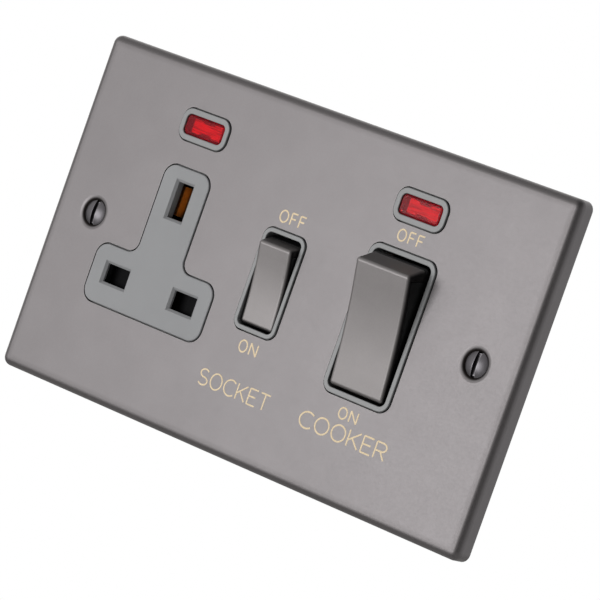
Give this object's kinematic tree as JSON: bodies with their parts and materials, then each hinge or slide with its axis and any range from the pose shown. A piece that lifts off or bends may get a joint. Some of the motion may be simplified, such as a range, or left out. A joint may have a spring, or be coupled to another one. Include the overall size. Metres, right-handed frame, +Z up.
{
  "type": "cooker control unit",
  "caption": "Flush double wall plate with a shuttered switched socket, a large cooker switch and a red neon indicator above each.",
  "frame": {"origin": "on the wall surface, midway between the two fixing screws", "axes": "+X to the right as seen from the room, +Y into the wall, +Z up"},
  "size_m": [0.1462, 0.0334, 0.0852],
  "materials": {
    "satin_plate": "satin pewter, fine grain along the length",
    "screw_steel": "turned and satin plated",
    "insert_moulding": "fine matte moulding in mid grey",
    "frame_moulding": "smooth satin moulding in mid grey",
    "rocker_cap_metal": "satin pewter",
    "rocker_moulding": "black moulding",
    "housing_moulding": "dark grey moulding",
    "shutter_moulding": "smooth black moulding",
    "plunger_moulding": "smooth natural nylon",
    "contact_brass": "rolled brass strip",
    "terminal_brass": "machined brass",
    "plated_steel": "bright zinc plate",
    "spring_steel": "drawn steel wire",
    "neon_lens": "clear red moulding",
    "neon_diffuser": "frosted red moulding, lit from behind",
    "lamp_glass": "clear glass with a warm tint",
    "resistor_body": "lacquered ceramic"
  },
  "bodies": {
    "unit": {"front_plate": "satin_plate", "fixing_screw_left": "screw_steel", "fixing_screw_right": "screw_steel", "socket_insert": "insert_moulding", "socket_switch_frame": "frame_moulding", "cooker_switch_frame": "frame_moulding", "socket_neon_frame": "frame_moulding", "cooker_neon_frame": "frame_moulding", "socket_neon_lens": "neon_lens", "cooker_neon_lens": "neon_lens", "socket_neon_diffuser": "neon_diffuser", "cooker_neon_diffuser": "neon_diffuser", "socket_neon_lamp": "lamp_glass", "cooker_neon_lamp": "lamp_glass", "socket_neon_resistor": "resistor_body", "cooker_neon_resistor": "resistor_body", "rear_housing": "housing_moulding", "plate_pillars": "plated_steel", "housing_screws": "plated_steel", "terminal_screws": "plated_steel", "line_in_terminal": "terminal_brass", "neutral_in_terminal": "terminal_brass", "line_out_terminal": "terminal_brass", "neutral_out_terminal": "terminal_brass", "earth_terminal": "terminal_brass", "line_link": "contact_brass", "neutral_link": "contact_brass", "switched_link": "contact_brass", "earth_link": "contact_brass", "line_contact": "contact_brass", "neutral_contact": "contact_brass", "earth_contact": "contact_brass", "shutter_spring": "spring_steel", "socket_pivot_bracket": "contact_brass", "socket_fixed_contact": "contact_brass", "cooker_line_bracket": "contact_brass", "cooker_neutral_bracket": "contact_brass", "cooker_line_fixed_contact": "contact_brass", "cooker_neutral_fixed_contact": "contact_brass"},
    "socket_rocker": {"socket_rocker": "rocker_moulding", "socket_rocker_cap": "rocker_cap_metal", "socket_plunger": "plunger_moulding", "socket_plunger_spring": "spring_steel"},
    "cooker_rocker": {"cooker_rocker": "rocker_moulding", "cooker_rocker_cap": "rocker_cap_metal", "cooker_line_plunger": "plunger_moulding", "cooker_neutral_plunger": "plunger_moulding", "cooker_line_plunger_spring": "spring_steel", "cooker_neutral_plunger_spring": "spring_steel"},
    "socket_blade": {"socket_blade": "contact_brass"},
    "cooker_line_blade": {"cooker_line_blade": "contact_brass"},
    "cooker_neutral_blade": {"cooker_neutral_blade": "contact_brass"},
    "shutter": {"shutter": "shutter_moulding"}
  },
  "joints": [
    {"name": "socket_switch", "type": "hinge", "parent": "unit", "child": "socket_rocker", "pos_m": [-0.002, -0.0004, -0.0002], "axis": [-1, 0, 0], "range_deg": [0, 19]},
    {"name": "cooker_switch", "type": "hinge", "parent": "unit", "child": "cooker_rocker", "pos_m": [0.0321, -0.002, -0.0002], "axis": [-1, 0, 0], "range_deg": [0, 23]},
    {"name": "socket_blade_rock", "type": "hinge", "parent": "unit", "child": "socket_blade", "pos_m": [-0.002, 0.0091, -0.0002], "axis": [-1, 0, 0], "range_deg": [-16, 0]},
    {"name": "cooker_line_blade_rock", "type": "hinge", "parent": "unit", "child": "cooker_line_blade", "pos_m": [0.0363, 0.0105, -0.0002], "axis": [-1, 0, 0], "range_deg": [-18, 0]},
    {"name": "cooker_neutral_blade_rock", "type": "hinge", "parent": "unit", "child": "cooker_neutral_blade", "pos_m": [0.0279, 0.0105, -0.0002], "axis": [-1, 0, 0], "range_deg": [-18, 0]},
    {"name": "shutter_drop", "type": "slide", "parent": "unit", "child": "shutter", "axis": [0, 0, -1], "range_m": [0, 0.0056], "stiffness_N_per_m": 60, "springref_m": -0.003, "deforming": ["shutter_spring"]}
  ],
  "couplings": [
    {"joint": "socket_blade_rock", "follows": "socket_switch", "ratio": -0.84211},
    {"joint": "cooker_line_blade_rock", "follows": "cooker_switch", "ratio": -0.78261},
    {"joint": "cooker_neutral_blade_rock", "follows": "cooker_switch", "ratio": -0.78261}
  ]
}
